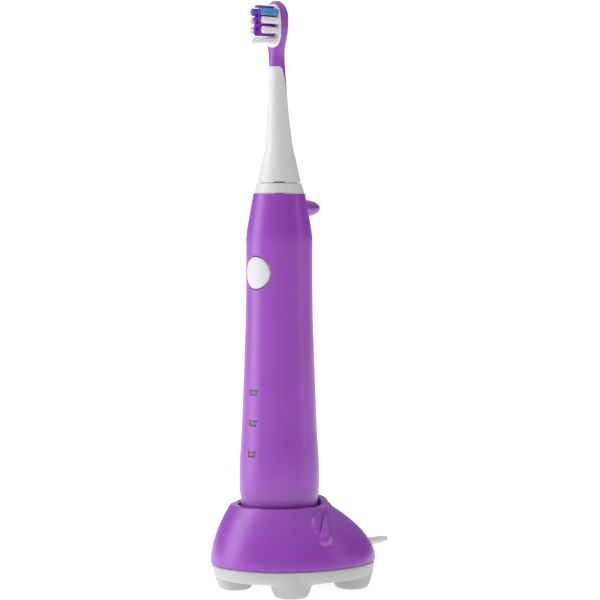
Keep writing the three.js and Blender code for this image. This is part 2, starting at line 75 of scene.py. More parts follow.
TAB_Z = 147.4
BUTTON_Z = 123
BUTTON_R = 6.1
LIGHT_Z = (77.4, 65.7, 53.9)
HANDLE = [  # height, radius
    (22, 13.2), (25, 14.4), (35, 14.8), (38.5, 15.2), (44.5, 15.4), (51.6, 15.2),
    (60.8, 14.6), (70, 14.2), (88.6, 13.5), (107, 12.9), (130, 12.7), (134.8, 12.7),
    (139.4, 12.3), (144, 11.5), (148.2, 10.8), (153.2, 9.85),
]
HEAD = [  # height, centre y, half width x, half depth y, squareness
    (157.25, 0, 8.35, 8.35, 2), (160.2, 0, 7.65, 7.65, 2), (164.8, 0, 6.65, 6.65, 2),
    (168, 0, 5.9, 5.9, 2), (171.7, -0.1, 5.15, 5.15, 2), (176.3, -0.35, 4.75, 4.75, 2),
    (185.6, -0.75, 3.95, 3.95, 2), (195, -0.85, 3.3, 3.3, 2), (199.4, -1, 3.1, 3.1, 2),
    (204, -1.3, 3.05, 2.9, 2), (207.5, -1.45, 3.4, 2.5, 2.3), (210.5, -1.5, 4.2, 2.25, 2.7),
    (213.5, -1.5, 4.95, 2.2, 3), (217, -1.5, 5.4, 2.2, 3.2), (220.5, -1.5, 5.4, 2.2, 3.2),
    (223.1, -1.5, 4.6, 2.15, 3), (225, -1.5, 3.3, 2.05, 2.6), (226.4, -1.5, 1.3, 1.5, 2),
]
OVERMOULD = [  # depth y, height where the coloured overmould starts
    (-12, 201.7), (-2.4, 201.7), (-1.4, 200.6), (-0.4, 198), (0.2, 194.5), (1.3, 191.3),
    (2.4, 187), (12, 187),
]
PLATE_Z = 216.9
PLATE_HALF_X = 4.3
PLATE_HALF_Z = 8.3
PLATE_FRONT_Y = -3.9
PLATE_BACK_Y = -2.6
TUFT_TIP_Y = -12.1

# ---------- camera ----------

CAMERA_AZIMUTH = 45
CAMERA_LENS = 151
CAMERA_DISTANCE = 0.965
CAMERA_HEIGHT = 0.1545
AIM_HEIGHT = 0.1123
AIM_SIDE = 0.00795  # metres to the right of the brush's axis


def toward(azimuth):
    """Unit direction from the object to a viewer at that azimuth."""
    a = math.radians(azimuth)
    return Vector((math.sin(a), -math.cos(a), 0))


def make_camera():
    axis = Vector((0, AXIS_Y * MM, 0))
    data = bpy.data.cameras.new("camera")
    data.lens = CAMERA_LENS
    data.sensor_width = 36
    camera = bpy.data.objects.new("camera", data)
    bpy.context.scene.collection.objects.link(camera)
    camera.location = axis + toward(CAMERA_AZIMUTH) * CAMERA_DISTANCE + Vector((0, 0, CAMERA_HEIGHT))
    aim = axis + toward(CAMERA_AZIMUTH + 90) * AIM_SIDE + Vector((0, 0, AIM_HEIGHT))
    camera.rotation_euler = (aim - camera.location).to_track_quat("-Z", "Y").to_euler()
    bpy.context.scene.camera = camera


# ---------- node materials ----------


def material(name, colour, roughness, *, grain=900, bump=0.05, tint=0.05, uneven=0.08, **fixed):
    """Moulded surface: fine grain in the bump and the roughness, slow drift in the colour."""
    made = bpy.data.materials.new(name)
    made.use_nodes = True
    tree = made.node_tree
    shader = tree.nodes["Principled BSDF"]
    link = tree.links.new
    place = tree.nodes.new("ShaderNodeTexCoord")
    slow = tree.nodes.new("ShaderNodeTexNoise")
    slow.inputs["Scale"].default_value = grain / 12
    slow.inputs["Detail"].default_value = 4
    link(place.outputs["Object"], slow.inputs["Vector"])
    fine = tree.nodes.new("ShaderNodeTexNoise")
    fine.inputs["Scale"].default_value = grain
    fine.inputs["Detail"].default_value = 3
    link(place.outputs["Object"], fine.inputs["Vector"])
    shade = tree.nodes.new("ShaderNodeValToRGB")
    shade.color_ramp.elements[0].color = (*[c * (1 - tint) for c in colour], 1)
    shade.color_ramp.elements[1].color = (*[min(1, c * (1 + tint)) for c in colour], 1)
    shade.color_ramp.elements[0].position = 0.3
    shade.color_ramp.elements[1].position = 0.7
    link(slow.outputs["Fac"], shade.inputs["Fac"])
    link(shade.outputs["Color"], shader.inputs["Base Color"])
    rough = tree.nodes.new("ShaderNodeMapRange")
    rough.inputs["To Min"].default_value = roughness - uneven / 2
    rough.inputs["To Max"].default_value = roughness + uneven / 2
    link(fine.outputs["Fac"], rough.inputs["Value"])
    link(rough.outputs["Result"], shader.inputs["Roughness"])
    relief = tree.nodes.new("ShaderNodeBump")
    relief.inputs["Strength"].default_value = bump
    relief.inputs["Distance"].default_value = 0.0002
    link(fine.outputs["Fac"], relief.inputs["Height"])
    link(relief.outputs["Normal"], shader.inputs["Normal"])
    for socket, value in fixed.items():
        shader.inputs[socket.replace("_", " ")].default_value = value
    return made


def banded(made, axis, spacing, depth):
    """Adds regular lines across a material, such as the turns of a winding."""
    tree = made.node_tree
    relief = next(n for n in tree.nodes if n.type == "BUMP")
    place = next(n for n in tree.nodes if n.type == "TEX_COORD")
    wave = tree.nodes.new("ShaderNodeTexWave")
    wave.bands_direction = axis
    wave.inputs["Scale"].default_value = 2 * math.pi / (20 * spacing)
    tree.links.new(place.outputs["Object"], wave.inputs["Vector"])
    tree.links.new(wave.outputs["Fac"], relief.inputs["Height"])
    relief.inputs["Strength"].default_value = depth
    return made


PURPLE = material("purple_satin", (0.26, 0.038, 0.41), 0.33, Specular_IOR_Level=0.7)
WHITE = material("white_satin", (0.59, 0.59, 0.59), 0.4, tint=0.02)
COVER = material("cover_white", (0.45, 0.45, 0.45), 0.45, tint=0.02)
INNER = material("inner_grey", (0.5, 0.5, 0.48), 0.55, grain=500, bump=0.15)
VINYL = material("cord_vinyl", (0.64, 0.63, 0.63), 0.5, grain=1500, bump=0.12, tint=0.03)
RUBBER = material("rubber", (0.12, 0.12, 0.13), 0.8, grain=700, bump=0.35, tint=0.12)
STEEL = material("steel", (0.6, 0.6, 0.62), 0.28, Metallic=1.0, grain=1200, bump=0.1)
COPPER = banded(
    material("copper_winding", (0.62, 0.27, 0.12), 0.35, Metallic=1.0), "Z", 0.0005, 0.8
)
BRASS = material("sintered_bronze", (0.55, 0.33, 0.14), 0.42, Metallic=1.0, bump=0.2)
FERRITE = material("ferrite", (0.05, 0.05, 0.055), 0.7, grain=1500, bump=0.3, tint=0.2)
BOARD = material("circuit_board", (0.03, 0.16, 0.07), 0.45, grain=400, tint=0.2, bump=0.2)
WRAP = material("battery_wrap", (0.06, 0.16, 0.42), 0.32, grain=300, tint=0.08)
LIGHT = material("light_guide", (0.13, 0.11, 0.135), 0.3, tint=0.1, Coat_Weight=0.3)
BUTTON = material("button_white", (0.575, 0.565, 0.58), 0.45, tint=0.02)
PLATE = material("plate_white", (0.76, 0.71, 0.75), 0.4, tint=0.02)
BRISTLE = {
    "white": material("nylon_white", (0.86, 0.86, 0.87), 0.42, grain=2500, tint=0.06),
    "purple": material("nylon_purple", (0.3, 0.045, 0.62), 0.42, grain=2500, tint=0.15),
    "blue": material("nylon_blue", (0.08, 0.37, 0.68), 0.42, grain=2500, tint=0.15),
}

CARRIED = {
    "foot_pad": RUBBER, "cap_seal": RUBBER, "shaft_seal": RUBBER,
    "base_screw": STEEL, "motor": STEEL, "drive_shaft": STEEL,
    "charging_post": PURPLE, "handle_cap": PURPLE,
    "ferrite_core": FERRITE, "tact_switch": FERRITE,
    "primary_coil": COPPER, "secondary_coil": COPPER, "shaft_bearing": BRASS,
    "charger_board": BOARD, "main_board": BOARD,
    "motor_clamp": INNER, "chassis": INNER, "bearing_carrier": INNER, "head_bush": INNER,
    "battery": WRAP, "mode_led": WHITE, "inner_lead": VINYL,
}


def dress_cad_nodes():
    for name, node in nodes.items():
        stems = [stem for stem in CARRIED if name.startswith(stem)]
        if stems:
            made = CARRIED[max(stems, key=len)]
            for place in node.material_slots:
                place.material = made


# ---------- geometry helpers ----------


def between(a, b, t):
    return a + (b - a) * t


def ease(t):
    t = min(1, max(0, t))
    return t * t * (3 - 2 * t)


def eased(table, at):
    """Smooth row of values at a height, through the rows of a table and never past them."""
    rows = np.array(table, float)
    x, v = rows[:, 0], rows[:, 1:]
    slope = np.diff(v, axis=0) / np.diff(x)[:, None]
    bend = np.vstack([slope[:1], (slope[1:] + slope[:-1]) / 2, slope[-1:]])
    bend[1:-1][slope[1:] * slope[:-1] <= 0] = 0
    i = int(np.clip(np.searchsorted(x, at) - 1, 0, len(x) - 2))
    h = x[i + 1] - x[i]
    t = (at - x[i]) / h
    a, b = (1 + 2 * t) * (1 - t) ** 2, t * (1 - t) ** 2
    c, d = t * t * (3 - 2 * t), t * t * (t - 1)
    return a * v[i] + b * h * bend[i] + c * v[i + 1] + d * h * bend[i + 1]


def rounded(points, radius, closed=False, steps=4, least=25):
    """The same outline with its sharp corners turned into small arcs."""
    pts = [np.array(p, float) for p in points]
    out = []
    for i, p in enumerate(pts):
        if not closed and i in (0, len(pts) - 1):
            out.append(p)
            continue
        before, after = pts[i - 1] - p, pts[(i + 1) % len(pts)] - p
        la, lb = np.linalg.norm(before), np.linalg.norm(after)
        turn = 180 - math.degrees(math.acos(np.clip(before @ after / (la * lb), -1, 1)))
        if turn < least:
            out.append(p)
            continue
        cut = min(radius * math.tan(math.radians(turn / 2)), 0.45 * la, 0.45 * lb)
        start, end = p + before / la * cut, p + after / lb * cut
        for k in range(steps + 1):
            t = k / steps
            out.append((1 - t) ** 2 * start + 2 * t * (1 - t) * p + t * t * end)
    return out


def new_object(name, verts, faces):
    mesh = bpy.data.meshes.new(name)
    mesh.from_pydata([[c * MM for c in v] for v in verts], [], faces)
    mesh.validate()
    made = bpy.data.objects.new(name, mesh)
    bpy.context.scene.collection.objects.link(made)
    bm = bmesh.new()
    bm.from_mesh(mesh)
    bmesh.ops.remove_doubles(bm, verts=bm.verts, dist=1e-7)
    bmesh.ops.recalc_face_normals(bm, faces=bm.faces)
    bm.to_mesh(mesh)
    bm.free()
    return made


def skin(name, rings, loop=False):
    """A closed surface over rings of points; the ends are capped, or joined when loop is set."""
    count = len(rings[0])
    verts = [tuple(p) for ring in rings for p in ring]
    faces = []
    for level in range(len(rings) if loop else len(rings) - 1):
        a, b = level * count, ((level + 1) % len(rings)) * count
        for i in range(count):
            j = (i + 1) % count
            faces.append((a + i, a + j, b + j, b + i))
    if not loop:
        faces.append(tuple(range(count))[::-1])
        faces.append(tuple(range((len(rings) - 1) * count, len(rings) * count)))
    return new_object(name, verts, faces)


def turns(count=SIDES):
    """Angles of equal steps round a circle."""
    return [2 * math.pi * i / count for i in range(count)]


def circle(r, z, y=AXIS_Y, sides=SIDES):
    return [(r * math.cos(a), y + r * math.sin(a), z) for a in turns(sides)]


def lathe(name, profile, y=AXIS_Y, sides=SIDES, loop=False):
    """A body of revolution from [radius, height] points; loop makes a ring-shaped one."""
    return skin(name, [circle(max(r, 0.002), z, y, sides) for r, z in profile], loop)


def boolean(base, tool, operation):
    change = base.modifiers.new("change", "BOOLEAN")
    change.solver = "EXACT"
    change.operation = operation
    change.object = tool
    applied(base)
    bpy.data.objects.remove(tool)
    return base


def cut(base, *tools):
    for tool in tools:
        boolean(base, tool, "DIFFERENCE")
    return base


def join(base, *tools):
    for tool in tools:
        boolean(base, tool, "UNION")
    return base


def applied(obj):
    """Turns the modifiers of an object into its mesh."""
    seen = obj.evaluated_get(bpy.context.evaluated_depsgraph_get())
    mesh = bpy.data.meshes.new_from_object(seen)
    obj.modifiers.clear()
    obj.data = mesh


def finished(obj, made, body, replaces, crease=38):
    """Smooth shading with sharp creases, then material, body and the CAD node it replaces."""
    bm = bmesh.new()
    bm.from_mesh(obj.data)
    for face in bm.faces:
        face.smooth = True
    for edge in bm.edges:
        flat = len(edge.link_faces) == 2 and edge.calc_face_angle(0) < math.radians(crease)
        edge.smooth = flat
    bm.to_mesh(obj.data)
    bm.free()
    obj.data.materials.clear()
    obj.data.materials.append(made)
    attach(obj, body)
    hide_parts(*replaces)
    return obj


def placed(obj, place):
    """Puts each vertex where place says, from its coordinates in metres."""
    for v in obj.data.vertices:
        v.co = place(*v.co)
    return obj


def moved(obj, offset=(0, 0, 0), turn=0):
    """Turns a mesh about the Z axis by degrees, then shifts it by millimetres."""
    a = math.radians(turn)
    c, s = math.cos(a), math.sin(a)
    dx, dy, dz = (d * MM for d in offset)
    return placed(obj, lambda x, y, z: (c * x - s * y + dx, s * x + c * y + dy, z + dz))


def block(name, x0, x1, y0, y1, z0, z1, radius=0.0, along="x"):
    """A bar with rounded long edges and softly rounded ends."""
    lows, highs = np.array((x0, y0, z0), float), np.array((x1, y1, z1), float)
    main = "xyz".index(along)
    a, b = [k for k in range(3) if k != main]
    corner = max(radius, 0.02)
    rings = []
    for pos, inset in end_rounding(lows[main], highs[main], corner):
        pts = [
            (lows[a] + inset, lows[b] + inset), (highs[a] - inset, lows[b] + inset),
            (highs[a] - inset, highs[b] - inset), (lows[a] + inset, highs[b] - inset),
        ]
        ring = []
        for pa, pb in rounded(pts, corner, closed=True, steps=5):
            point = [0, 0, 0]
            point[main], point[a], point[b] = pos, pa, pb
            ring.append(tuple(point))
        rings.append(ring)
    return skin(name, rings)


def end_rounding(low, high, radius, steps=4):
    """Positions along a bar, with the inset of its outline there, for rounded ends."""
    arc = [math.pi / 2 * k / steps for k in range(steps + 1)]
    start = [(low + radius * (1 - math.sin(a)), radius * (1 - math.cos(a))) for a in arc[::-1]]
    end = [(high - radius * (1 - math.sin(a)), radius * (1 - math.cos(a))) for a in arc]
    return start + end


# ---------- lead: first, with the camera, as the room it takes is checked ----------

LEAD_ROUTE = [
    (0, 46, EXIT_Z), (0, RELIEF_END_Y + GAP, EXIT_Z), (-0.5, 52.6, 14.1), (-1.9, 54.6, 13.9),
    (-4, 55.9, 13.6), (-6.8, 56.6, 13.2), (-10, 57.3, 12.5), (-14, 58.4, 11), (-18.5, 59.9, 8.7),
    (-23, 61.4, 6), (-27.5, 62.4, 3.7), (-32, 62.8, 2.4), (-36.4, 62.9, 2), (-41, 62.9, 2),
]
TAIL_ROUTE = [
    (14.2, -13.6, 9.2), (16.8, -12.6, 9.6), (20.6, -9.6, 10.6), (23, -5.4, 11.9),
    (23.6, -0.8, 13.1), (22.6, 3.6, 13.9), (19.8, 7, 14.3), (16.2, 8.7, 14.4), (11, 8.8, 14.4),
]


def stored(point):
    """A point of the stored coil's own frame, in the object's frame."""
    a = math.radians(COIL_TURN)
    x, y, z = point
    return (
        COIL_CENTRE[0] + x * math.cos(a) - y * math.sin(a),
        COIL_CENTRE[1] + x * math.sin(a) + y * math.cos(a),
        z,
    )


def coil_points(per_turn=24, shift=0.13):
    """Turns beside and on each other: in, out, in and out again, one layer on the last."""
    radii, heights = [], []
    for level, z in enumerate(COIL_LAYERS):
        radii += COIL_SLOTS if level % 2 == 0 else COIL_SLOTS[::-1]
        heights += [z] * len(COIL_SLOTS)
    turns = len(radii) - 30 / 360
    points = []
    for k in range(int(turns * per_turn) + 1):
        t = k / per_turn
        slot = int(t)
        nearly = ease((t - slot - 1 + shift) / shift)
        following = min(slot + 1, len(radii) - 1)
        r = between(radii[slot], radii[following], nearly)
        z = between(heights[slot], heights[following], nearly)
        a = math.radians(90 + 360 * t)
        points.append((COIL_CENTRE[0] + r * math.cos(a), COIL_CENTRE[1] + r * math.sin(a), z))
    return points


def through(points, steps=4):
    """Catmull-Rom points through the given ones."""
    pts = np.array(points, float)
    pts = np.vstack([2 * pts[0] - pts[1], pts, 2 * pts[-1] - pts[-2]])
    out = []
    for a, b, c, d in zip(pts, pts[1:], pts[2:], pts[3:]):
        for k in range(steps):
            t = k / steps
            out.append(
                0.5 * (2 * b + (c - a) * t + (2 * a - 5 * b + 4 * c - d) * t * t
                       + (3 * b - a - 3 * c + d) * t**3)
            )
    out.append(pts[-2])
    return out


def make_lead():
    tail = [stored(p) for p in TAIL_ROUTE]
    route = through(LEAD_ROUTE + coil_points() + tail, steps=3)
    data = bpy.data.curves.new("lead", "CURVE")
    data.dimensions = "3D"
    data.bevel_depth = CORD_R * MM
    data.bevel_resolution = 5
    data.use_fill_caps = True
    line = data.splines.new("POLY")
    line.points.add(len(route) - 1)
    for point, place in zip(line.points, route):
        point.co = (*[c * MM for c in place], 1)
    line.use_smooth = True
    data.materials.append(VINYL)
    lead = bpy.data.objects.new("lead", data)
    bpy.context.scene.collection.objects.link(lead)
    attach(lead, "charger")
    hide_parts("lead_cord", "lead_coil", "lead_tail")
    return lead


def along_exit(obj):
    """Lays an upright body along the line the lead leaves by."""
    return placed(obj, lambda x, y, z: (x, z, EXIT_Z * MM - y))


def make_relief():
    profile = rounded([
        (0, 27.6), (3.5, 27.6), (3.5, 29.2), (1.85, 29.2), (1.85, 34.3), (2.1, 34.7),
        (1.5, 49.6), (1.25, RELIEF_END_Y), (0, RELIEF_END_Y),
    ], 0.3)
    relief = along_exit(lathe("relief", profile, y=0, sides=40))
    return finished(relief, VINYL, "charger", ["strain_relief"])


def in_store(obj):
    return moved(obj, (*COIL_CENTRE, 0), COIL_TURN)


def make_tie():
    """A flat strap round the coil's section."""
    x0, x1, z0, z1 = 9.7, 18.9, 0.02, 11.18
    corners = rounded([(x0, z0), (x1, z0), (x1, z1), (x0, z1)], 1.6, closed=True, steps=8)
    centre = np.array(((x0 + x1) / 2, (z0 + z1) / 2))
    section = rounded([(0, -2), (0, 2), (0.5, 2), (0.5, -2)], 0.18, closed=True, steps=3)
    rings = []
    for p in corners:
        inward = (centre - p) * (1 / (centre - (x0, z0)))
        inward = inward / max(np.linalg.norm(inward), 1e-6)
        rings.append([(p[0] + inward[0] * d, w, p[1] + inward[1] * d) for d, w in section])
    strap = skin("tie", rings, loop=True)
    moved(strap, turn=-155)
    return finished(in_store(strap), RUBBER, "charger", ["coil_tie"])


def make_plug():
    """Moulded grip with finger ridges and a ribbed boot."""
    x0, y, z = 13, 8.8, 14.4
    grip = block("plug", x0 - 26, x0 - 6, y - 7.4, y + 7.4, z - 3.7, z + 3.7, 1.5)
    ribs = [(0, x0), (1.6, x0)]
    for k in range(6):
        r = 2 + 0.17 * k
        start = x0 - k
        ribs += [(r, start), (r, start - 0.55), (r - 0.3, start - 0.62), (r - 0.3, start - 0.95)]
    ribs += [(3, x0 - 6), (3.1, x0 - 7.5), (0, x0 - 7.5)]
    boot = lathe("boot", rounded(ribs, 0.12, steps=2), y=0, sides=32)
    join(grip, placed(boot, lambda a, b, c: (c, y * MM + b, z * MM + a)))
    ridges = [
        block("ridge", x0 - 11.6 - 1.7 * k, x0 - 10.8 - 1.7 * k, y + s * 7.4 - 0.35,
              y + s * 7.4 + 0.35, z - 2.2, z + 2.2, 0.2, along="z")
        for k in range(5) for s in (-1, 1)
    ]
    mouth = block("mouth", x0 - 27, x0 - 21, y - 6.3, y + 6.3, z - 2.6, z + 2.6, 0.3)
    cut(grip, mouth, *ridges)
    return finished(in_store(grip), VINYL, "charger", ["plug_body"], crease=30)


def make_plug_shell():
    """Folded sheet sleeve with two latch windows on each broad side."""
    x1, y, z = -8.4, 8.8, 14.4
    sleeve = block("plug_sleeve", x1 - 16, x1, y - 6, y + 6, z - 2.25, z + 2.25, 0.4)
    bore = block("bore", x1 - 17, x1 + 1, y - 5.6, y + 5.6, z - 1.85, z + 1.85, 0.25)
    windows = [
        block("window", x1 - 10.6, x1 - 8.1, y + s * 2.9 - 1.2, y + s * 2.9 + 1.2, z - 4, z + 4,
              0.15, along="z")
        for s in (-1, 1)
    ]
    cut(sleeve, bore, *windows)
    return finished(in_store(sleeve), STEEL, "charger", ["plug_shell"], crease=30)


def make_plug_tongue():
    x1, y, z = -9.8, 8.8, 14.4
    tongue = block("plug_insert", x1 - 14.2, x1, y - 5.3, y + 5.3, z - 1.6, z + 0.2, 0.2)
    grooves = [
        block("groove", x1 - 13, x1 - 4, y + k * 2.3 - 0.5, y + k * 2.3 + 0.5, z, z + 1, 0.1)
        for k in (-1.5, -0.5, 0.5, 1.5)
    ]
    cut(tongue, *grooves)
    return finished(in_store(tongue), WHITE, "charger", ["plug_tongue"])


# ---------- charger ----------

COLUMNS = 320
LEAF = [  # height, depth of the leaf's midrib behind the axis, half width
    (19.8, -1.8, 0), (20.5, -1.6, 1.6), (21.7, -1.3, 2.7), (23.2, -0.8, 3.3), (25.2, 0.1, 3.0),
    (27.3, 0.9, 2.3), (29.5, 2, 1.3), (32.2, 3.6, 0),
]
PETAL = [  # height, depth of the front edge of the petal behind it
    (23.5, -4.4), (25.2, -5.3), (26.7, -5.4), (28.3, -4.8), (29.8, -4), (31, -2.7), (32.2, 0.5),
]


def column_angles():
    """Angles round the charger, closer together at its sides, where the leaves are."""
    steps = [2 * math.pi * i / COLUMNS for i in range(COLUMNS)]
    return [a - 0.32 * math.sin(2 * a) for a in steps]


def dome_size(z):
    blend = max(0, (z - SEAM_Z) / (RIM_Z - SEAM_Z)) ** DOME_CURVE
    return (
        between(BASE_HALF_X, RIM_R, blend), between(BASE_HALF_Y, RIM_R, blend), AXIS_Y * blend,
    )


def dome_ring(z, inset=0.0):
    rx, ry, cy = dome_size(z)
    return [
        np.array(((rx - inset) * math.cos(a), cy + (ry - inset) * math.sin(a), z))
        for a in column_angles()
    ]


def round_ring(r, z):
    return [np.array((r * math.cos(a), AXIS_Y + r * math.sin(a), z)) for a in column_angles()]


def lip_rise(point):
    """How far the rim stands up behind the handle."""
    away = math.hypot(point[0], point[1] - AXIS_Y)
    x, y = point[0] / away * 17, (point[1] - AXIS_Y) / away * 17
    inside = 1 - (x / 13) ** 2 - ((y - 17) / 12) ** 2
    if inside <= 0:
        return 0
    return max(0, 3.9 * math.sqrt(inside) - 1.4)


def petal_tip(point):
    """Small swellings of the rim's outer edge, over the leaves and behind them."""
    turn = math.degrees(math.atan2(point[1] - AXIS_Y, abs(point[0])))
    over = 0.45 * math.exp(-((turn + 9) / 7) ** 2)
    return over + 0.6 * math.exp(-((turn - 46) / 8) ** 2)


def leaf_rise(point):
    """Height of the relief: a leaf with a raised midrib, lying over the edge of a petal."""
    depth, z = point[1] - AXIS_Y, point[2]
    rise = 0
    if PETAL[0][0] < z < PETAL[-1][0]:
        inside = depth - eased(PETAL, z)[0]
        fade = ease((z - PETAL[0][0]) / 3) * ease((9 - inside) / 7)
        rise = ease((inside + 0.3) / 1.3) * fade
    if LEAF[0][0] < z < LEAF[-1][0]:
        midrib, half = eased(LEAF, z)
        inside = half - abs(depth - midrib)
        leaf = 0.5 * ease(inside / 0.5) + 1.75 * max(0, inside) / 3.3
        rise = max(rise, leaf) if inside > 0 else rise * ease((-inside) / 0.5)
    return rise


def with_leaf(ring, outward):
    for p in ring:
        side = outward(p)
        p += side * leaf_rise(p) * ease((abs(side[0]) - 0.25) / 0.2)
    return ring


def dome_outward(point):
    rx, ry, cy = dome_size(point[2])
    rise = max(0, (point[2] - SEAM_Z) / (RIM_Z - SEAM_Z)) ** (DOME_CURVE - 1)
    slope = (RIM_R - BASE_HALF_X) * DOME_CURVE * rise / (RIM_Z - SEAM_Z)
    n = np.array((point[0] / rx, (point[1] - cy) / ry, -slope))
    return n / np.linalg.norm(n)


def make_base_shell():
    low = SEAM_Z + 0.08
    heights = [low + 0.2 + (RIM_Z - 0.6 - low) * k / 90 for k in range(91)]
    rings = [dome_ring(low, 0.5), dome_ring(low, 0.2), dome_ring(low + 0.05, 0.05)]
    rings += [with_leaf(dome_ring(z), dome_outward) for z in heights]
    top = [(RIM_R + 0.05, RIM_Z - 0.15), (RIM_R - 0.3, RIM_Z), (RIM_R - 0.9, RIM_Z),
           (SOCKET_R + 0.35, RIM_Z), (SOCKET_R + 0.1, RIM_Z - 0.1), (SOCKET_R, RIM_Z - 0.4)]
    top = [round_ring(r, z) for r, z in top]
    for ring in top[:4] + rings[-3:]:
        share = 1 if ring[0][2] > RIM_Z - 0.3 else 0.4
        for p in ring:
            outer = ease((math.hypot(p[0], p[1] - AXIS_Y) - SOCKET_R - 0.6) / 1.4)
            p[2] += max(lip_rise(p), petal_tip(p) * outer) * share
    under = SOCKET_FLOOR_Z - SOCKET_WALL
    well = rounded([
        (SOCKET_R, RIM_Z - 1), (SOCKET_R, SOCKET_FLOOR_Z), (POST_R + GAP, SOCKET_FLOOR_Z),
        (POST_R + GAP, under), (SOCKET_R + SOCKET_WALL, under),
        (SOCKET_R + SOCKET_WALL, RIM_Z - 6.8),
    ], 0.5)
    inner = [dome_ring(z, DOME_WALL) for z in (RIM_Z - 6.9, 25, 22, 18, 15, low)]
    shell = skin("dome", rings + top + [round_ring(r, z) for r, z in well] + inner, loop=True)
    cut(shell, lead_hole())
    return finished(shell, PURPLE, "charger", ["base_shell"])


def lead_hole():
    return along_exit(lathe("hole", [(0, 26), (2.2, 26), (2.2, 40), (0, 40)], y=0, sides=40))


FOOT = [
    (0, 0.1), (5, 0.1), (6, 0.5), (6.6, 1.3), (7.1, 2.4), (7.6, 4), (8.2, 6),
    (8.6, 8), (7.4, 9.4), (4, 10.2), (0, 10.4),
]


COVER_VOXEL = 0.00042  # metres
COVER_SOFTENING = 34


def skirt_ring(z, inset):
    taper = SKIRT_TAPER * (SEAM_Z - z) / (SEAM_Z - SKIRT_Z) + 0.2 + inset
    rx, ry = BASE_HALF_X - taper, BASE_HALF_Y - taper
    return [(rx * math.cos(a), ry * math.sin(a), z) for a in turns()]


def make_base_cover():
    """Skirt and four feet melted into one soft form, then hollowed."""
    profile = [(SKIRT_Z, 2.2), (SKIRT_Z + 0.4, 1), (SKIRT_Z + 1.3, 0.25), (8, 0), (SEAM_Z, 0)]
    cover = skin("bottom_cover", [skirt_ring(z, inset) for z, inset in profile])
    feet = [(sx * FOOT_X, sy * FOOT_Y) for sx in (-1, 1) for sy in (-1, 1)]
    join(cover, *[moved(lathe("foot", FOOT, y=0, sides=64), (x, y, 0)) for x, y in feet])
    melt = cover.modifiers.new("melt", "REMESH")
    melt.mode = "VOXEL"
    melt.voxel_size = COVER_VOXEL
    soften = cover.modifiers.new("soften", "SMOOTH")
    soften.factor = 0.5
    soften.iterations = COVER_SOFTENING
    applied(cover)
    for v in cover.data.vertices:
        v.co.z = min(v.co.z, SEAM_Z * MM)
    hollow = skin("hollow", [skirt_ring(z, 1.8) for z in (SKIRT_Z + 1.6, 9, SEAM_Z + 1)])
    cut(cover, hollow)
    for x, y in feet:
        recess = lathe("recess", [(0, -1), (3.6, -1), (3.6, 1.2), (0, 1.2)], y=0, sides=48)
        bore = lathe("bore", [(0, -1), (2.5, -1), (2.5, 3), (0, 3)], y=0, sides=32)
        cut(cover, moved(recess, (x, y, 0)), moved(bore, (x, y, 0)))
    return finished(cover, COVER, "charger", ["base_cover"])


# ---------- handle ----------


def handle_radius(z):
    return float(eased(HANDLE, min(max(z, HANDLE[0][0]), HANDLE[-1][0]))[0])


def on_handle(x, z, lift):
    """The point of the handle's front at that x and height, lifted off its surface."""
    r = handle_radius(z) + lift
    return (x, AXIS_Y - math.sqrt(max(r * r - x * x, 0.01)), z)


def disc_on_handle(name, profile, z, sides=96):
    """A round body whose [radius, lift] outline follows the handle's surface."""
    rings = []
    for r, lift in profile:
        rings.append([on_handle(r * math.cos(a), z + r * math.sin(a), lift) for a in turns(sides)])
    return skin(name, rings)


def light_outline(grow):
    """A small two-winged mark round its own centre."""
    right = [
        (0, 0.5 + grow), (2 + grow, 1.2 + grow), (1.5 + grow, -0.1), (1.3 + grow, -1.2 - grow),
        (0.4 + grow, -0.7 - grow),
    ]
    left = [(-x, z) for x, z in right[:0:-1]]
    return rounded(right + left, 0.3, closed=True, steps=3)


def light_body(name, levels, z):
    rings = [
        [on_handle(x, z + dz, lift) for x, dz in light_outline(grow)] for grow, lift in levels
    ]
    return skin(name, rings)


def rest_tab():
    """Blunt tongue at the back, wider where it grows out of the handle."""
    stations = [  # distance behind the axis, half width, half height
        (8, 5.2, 4.4), (11, 4.9, 4.1), (12.2, 4.3, 3.6), (14, 3.95, 3.3), (16, 3.7, 3.05),
        (18, 3.2, 2.65), (19.6, 2.5, 2.1), (20.5, 1.7, 1.4), (20.95, 0.7, 0.6),
    ]
    rings = []
    for k in range(40):
        y = between(8, 20.95, ease(0.5 + 0.5 * (k / 39)) * 2 - 1)
        w, h = eased(stations, y)
        rings.append([(w * math.cos(a), AXIS_Y + y, TAB_Z + h * math.sin(a)) for a in turns(48)])
    return skin("tab", rings)


def make_handle():
    low, high = HANDLE[0][0], HANDLE[-1][0]
    heights = [between(low, high, k / 100) for k in range(101)]
    outer = [(handle_radius(z), z) for z in heights]
    inner = [
        (4.6, high), (4.6, 149.6), (8.4, 149.6), (10.5, 136), (10.9, 118), (12.4, 60), (12.4, low),
    ]
    shell = lathe("handle", rounded(outer + inner, 0.25, closed=True, least=30), loop=True)
    join(shell, rest_tab())
    well = [(0, -3), (6.4, -3), (6.4, -0.3), (6.48, -0.1), (6.7, 0.03), (7, 1), (0, 1)]
    cut(shell, disc_on_handle("well", well, BUTTON_Z))
    for z in LIGHT_Z:
        cut(shell, light_body("pocket", [(0.2, -4), (0.2, -0.12), (0.3, 0.02), (0.5, 0.6)], z))
    return finished(shell, PURPLE, "handle", ["handle_shell"])


